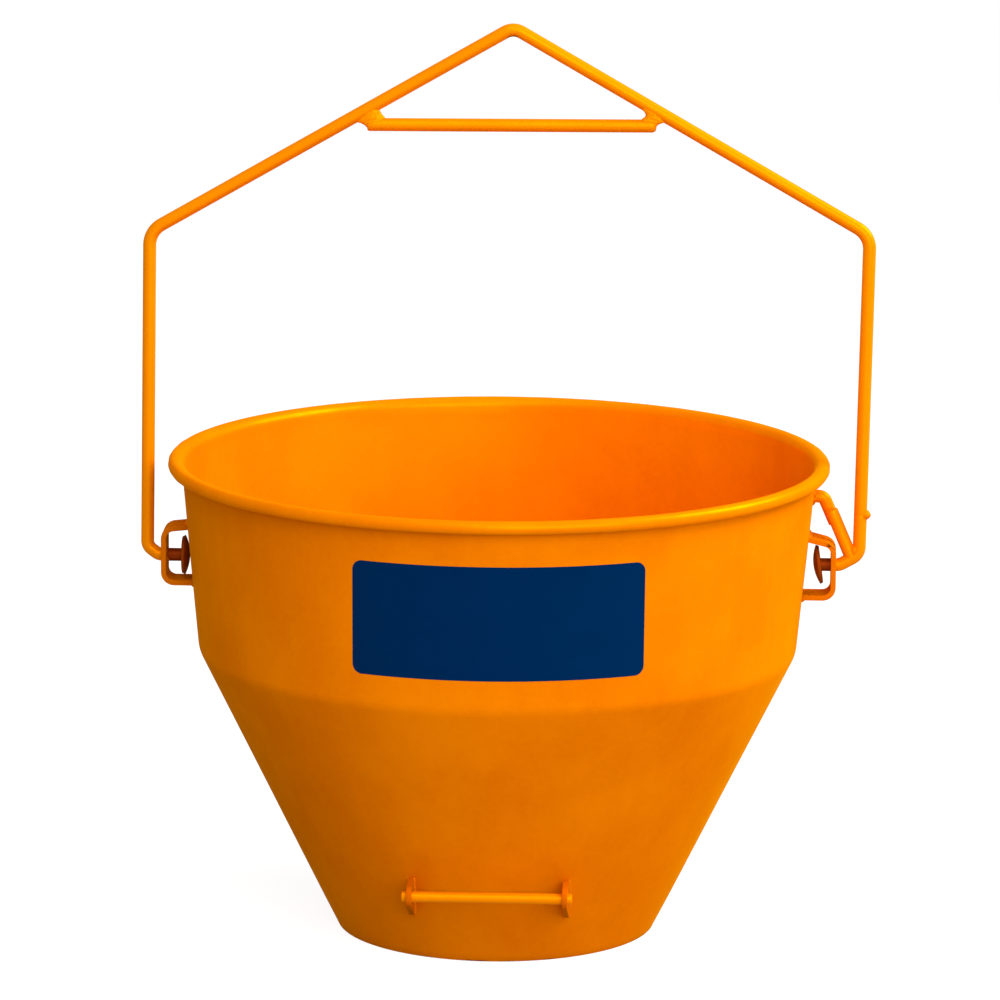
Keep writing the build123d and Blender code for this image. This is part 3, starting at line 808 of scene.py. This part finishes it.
# Pin washers: pressed domes of 2.5 mm sheet, welded on the ends of the pins, hollow side to the strap.
# Tucked behind the straps, they get a dark red-brown copy of the orange: painted shade.
shaded_pin_red, thin_shaded_pin_red = (0.36, 0.06, 0.002, 1), (0.20, 0.03, 0.002, 1)
pin_enamel = enamelled("pin_enamel", mottle=1.0, satin=0.42, gloss=0.02, full=shaded_pin_red, thin=thin_shaded_pin_red)
for name in ("left_pin_washer", "right_pin_washer", "washer_welds"):
    repaint(name, pin_enamel)


# Spreader bar: a straight bar across the peak that keeps the hoist's hook in the middle.
# Its ends stop under the inclines, and each is welded on by a web that fills the corner inside and out.
spreader_ends = (peak[0] - 109.05, 0.0, pin_z + 329.7), (peak[0] + 107.73, 0.0, pin_z + 331.3)
spreader_edges = (1.6, 3.0)
web_levels = (0, 0.2, 0.4, 0.5, 0.62, 0.72, 0.8, 1)
left_web_inner = (107.0, 99.0, 95.2, 97.4, 98.9, 99.8, 100.6, 104.0)
left_web_outer = (107.8, 110.2, 113.6, 116.6, 117.0, 115.5, 114.0, 112.0)
right_web_inner = (105.7, 99.0, 95.8, 98.6, 99.8, 98.6, 95.4, 97.0)
right_web_outer = (105.6, 107.3, 109.8, 112.4, 114.5, 113.5, 112.5, 110.0)
web_rows, web_steps = 45, 40
web_half, web_foot, web_growth = 4.4, 0.45, 2.2
web_sunk = 4.2
web_blunt = 0.6
web_ripple, web_pitch = 0.04, 2.9


def corner_web(side, end, shoulder, inner, outer):
    """Web of weld between bar and incline, in level rows from the bar's underside to the incline's axis.

    At a share v of that height it reaches from inner to outer, distances from the peak that are read
    off between the levels and evened over a tenth of the height. A row is a blunt oval, whose
    thickness grows up the bar, ripples along it and ends in a line.
    """
    slope = (peak[2] - shoulder[2]) / abs(peak[0] - shoulder[0])
    v = np.concatenate([[0.0], np.linspace(0, 1, web_rows), [1.0]])[:, None]
    around_v = v + np.linspace(-0.05, 0.05, 5)
    near = np.interp(around_v, web_levels, inner).mean(axis=1, keepdims=True)
    far = np.interp(around_v, web_levels, outer).mean(axis=1, keepdims=True)
    thick = web_half * np.minimum(1, web_foot + web_growth * v)
    thick[[0, -1]] = 0
    angle = full_turn(web_steps)[None, :]
    blunt_cos = np.sign(np.cos(angle)) * np.abs(np.cos(angle)) ** web_blunt
    blunt_sin = np.sign(np.sin(angle)) * np.abs(np.sin(angle)) ** web_blunt
    out = (far + near) / 2 + (far - near) / 2 * blunt_cos
    y = thick * blunt_sin * (1 + web_ripple * np.cos(2 * np.pi * out / web_pitch))
    z = (end[2] - web_sunk) * (1 - v) + (peak[2] - out * slope) * v
    return np.stack([peak[0] + side * out, y, z], axis=-1)


spreader_grid = round_bar(straight_line(*spreader_ends, count=38), rod_r, spreader_edges)
spreader = skin("spreader", leaned(spreader_grid), crisp=bar_crisp)
fit(spreader, bail_enamel, "bail", "bail_paint", "spreader_bar")
left_grid = corner_web(-1, spreader_ends[0], left_shoulder, left_web_inner, left_web_outer)
right_grid = corner_web(1, spreader_ends[1], right_shoulder, right_web_inner, right_web_outer)
for name, grid in (("left_spreader_web", left_grid), ("right_spreader_web", right_grid)):
    web = skin(name, leaned(grid), crisp=all_soft)
    fit(web, bail_enamel, "bail", "bail_paint", "spreader_welds")


# Label: a rounded rectangle of plain navy vinyl on the front of the band, left bare.
# It is stuck to the curve of the wall, a little to the right of the middle.
label_half = (110.0, 43.3)
label_corner = 7.5
label_middle_z = 283.4
label_turn = np.radians(-90 + 2.3)
label_rows, label_columns = 61, 120
vinyl_thick, glue_thick = 0.22, 0.03
deep_navy, pale_navy = (0.0001, 0.0170, 0.070, 1), (0.0001, 0.0200, 0.083, 1)


def label_grid():
    """Vinyl on the wall: rows up its height, each once across its face and back across its glued side.

    A row's half width is that of a rounded rectangle, less the corner's quarter circle near top and
    bottom.
    """
    width, height = label_half
    v = height * np.sin(np.linspace(-np.pi / 2, np.pi / 2, label_rows))
    in_corner = np.clip(np.abs(v) - (height - label_corner), 0, label_corner)
    reach = width - label_corner + np.sqrt(label_corner**2 - in_corner**2)
    across = np.linspace(-1, 1, label_columns)
    share = np.concatenate([across, across[::-1]])
    proud = np.repeat([vinyl_thick, glue_thick], label_columns)
    at_end = np.abs(v)[:, None] > height - 1e-6
    proud = np.where(at_end, (vinyl_thick + glue_thick) / 2, proud)
    z = label_middle_z + v[:, None] * np.cos(band_tilt) + 0 * share
    angle = label_turn + reach[:, None] * share / band_radius(z)
    radius = band_radius(z) + rolling_dents(angle, z) + proud
    return np.stack([radius * np.cos(angle), radius * np.sin(angle), z], axis=-1)


navy, tree = new_material("navy_vinyl")
place = on_piece(tree)
haze = speckle(tree, place, scale=35.0, detail=4.0, roughness=0.6)
grain = speckle(tree, place, scale=700.0, detail=1.0)
tooth = shader(tree, "Bump", {"Height": grain, "Strength": 0.05, "Distance": 0.0002})
vinyl = shader(
    tree,
    "BsdfPrincipled",
    {
        "Base Color": blended(tree, haze, deep_navy, pale_navy),
        "Roughness": ranged(tree, haze, start=0.0, end=1.0, low=0.34, high=0.5),
        "Specular IOR Level": 0.02,
        "Specular Tint": (0.02, 0.25, 1.0, 1),
        "Normal": tooth.outputs["Normal"],
    },
)
shader(tree, "OutputMaterial", {"Surface": vinyl.outputs[0]})
label = skin("bare_label", label_grid(), crisp=50)
label.data.materials.append(navy)
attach(label, "bucket")


# Studio: a plain pale floor and a pale room, with large soft lamps to the right, in front and above.
# Floor and room are white to the camera and to reflections, and the floor keeps the bucket's shadow.
floor_reach = 30.0
floor_mesh = bpy.data.meshes.new("floor")
floor_corners = [(-1, -1), (1, -1), (1, 1), (-1, 1)]
floor_points = [(x * floor_reach, y * floor_reach, 0.0) for x, y in floor_corners]
floor_mesh.from_pydata(floor_points, [], [(0, 1, 2, 3)])
floor = bpy.data.objects.new("floor", floor_mesh)
bpy.context.scene.collection.objects.link(floor)


def seen_directly(tree):
    """1 for rays of the camera, and for those that gloss or glass sends on, otherwise 0."""
    ray = shader(tree, "LightPath").outputs
    seen = reckoned(tree, "MAXIMUM", ray["Is Camera Ray"], ray["Is Glossy Ray"])
    return reckoned(tree, "MAXIMUM", seen, ray["Is Transmission Ray"])


def parted(tree, unseen, seen):
    """Shader that shows seen to the camera and to reflections, and unseen to other rays."""
    both = {0: seen_directly(tree), 1: unseen.outputs[0], 2: seen.outputs[0]}
    return shader(tree, "MixShader", both).outputs[0]


pale_floor, tree = new_material("pale_floor")
dim = shader(tree, "BsdfDiffuse", {"Color": (0.28, 0.27, 0.26, 1)})
pale = shader(tree, "BsdfDiffuse", {"Color": (0.20, 0.20, 0.20, 1)})
glow = shader(tree, "Emission", {"Color": (1, 1, 1, 1), "Strength": 0.90})
white = shader(tree, "AddShader", {0: pale.outputs[0], 1: glow.outputs[0]})
shader(tree, "OutputMaterial", {"Surface": parted(tree, unseen=dim, seen=white)})
floor_mesh.materials.append(pale_floor)

room = bpy.data.worlds.new("pale_room")
room.use_nodes = True
tree = room.node_tree
tree.nodes.clear()
ambient = shader(tree, "Background", {"Color": (1, 1, 1, 1), "Strength": 0.48})
backdrop = shader(tree, "Background", {"Color": (1, 1, 1, 1), "Strength": 1.0})
shader(tree, "OutputWorld", {"Surface": parted(tree, unseen=ambient, seen=backdrop)})
bpy.context.scene.world = room


def look_from(azimuth, elevation):
    """Axes (right, up, back) of a lamp or camera, from an azimuth (0 in front, 90 right) and elevation."""
    a, e = np.radians([azimuth, elevation])
    back = np.array([np.sin(a) * np.cos(e), -np.cos(a) * np.cos(e), np.sin(e)])
    right = np.array([np.cos(a), np.sin(a), 0.0])
    return right, np.cross(back, right), back


def stand(name, kind, axes, spot):
    """Object at a spot, turned to three axes."""
    made = bpy.data.objects.new(name, kind)
    rows = [[axis[i] for axis in axes] + [spot[i]] for i in range(3)]
    made.matrix_world = Matrix(rows + [[0, 0, 0, 1]])
    bpy.context.scene.collection.objects.link(made)
    return made


lamp_away = 3.0
lit_middle = np.array([0, 0, 0.2])


def soft_lamp(name, azimuth, elevation, size, power):
    """Square lamp that looks at the bucket's middle."""
    lamp = bpy.data.lights.new(name, "AREA")
    lamp.shape = "SQUARE"
    lamp.size = size
    lamp.energy = power
    axes = look_from(azimuth, elevation)
    stand(name, lamp, axes, axes[2] * lamp_away + lit_middle)


soft_lamp("key_right", azimuth=100, elevation=40, size=1.6, power=107.0)
soft_lamp("fill_front", azimuth=20, elevation=25, size=2.2, power=70.0)
soft_lamp("fill_above", azimuth=-15, elevation=60, size=1.6, power=18.0)


# Camera: a long lens from in front, a little to the right and above, as in the photograph.
# It is turned by under half a degree about its own axis.
camera_azimuth, camera_elevation, camera_away = 2.2, 11.508, 4.8
roll = np.radians(0.438)
aim_height, aim_right, aim_up = 0.180, 0.000858, 0.1450
focal_pixels, picture_pixels = 6305.0, 1000.0
right, up, back = look_from(camera_azimuth, camera_elevation)
target = np.array([0.0, 0.0, aim_height]) + aim_right * right + aim_up * up
level = np.cos(roll) * right + np.sin(roll) * up
upright = -np.sin(roll) * right + np.cos(roll) * up
lens = bpy.data.cameras.new("camera")
lens.sensor_width = 36.0
lens.lens = focal_pixels / picture_pixels * lens.sensor_width
lens.clip_end = 200.0
camera = stand("camera", lens, (level, upright, back), target + camera_away * back)
bpy.context.scene.camera = camera
bpy.context.scene.view_settings.view_transform = "Standard"
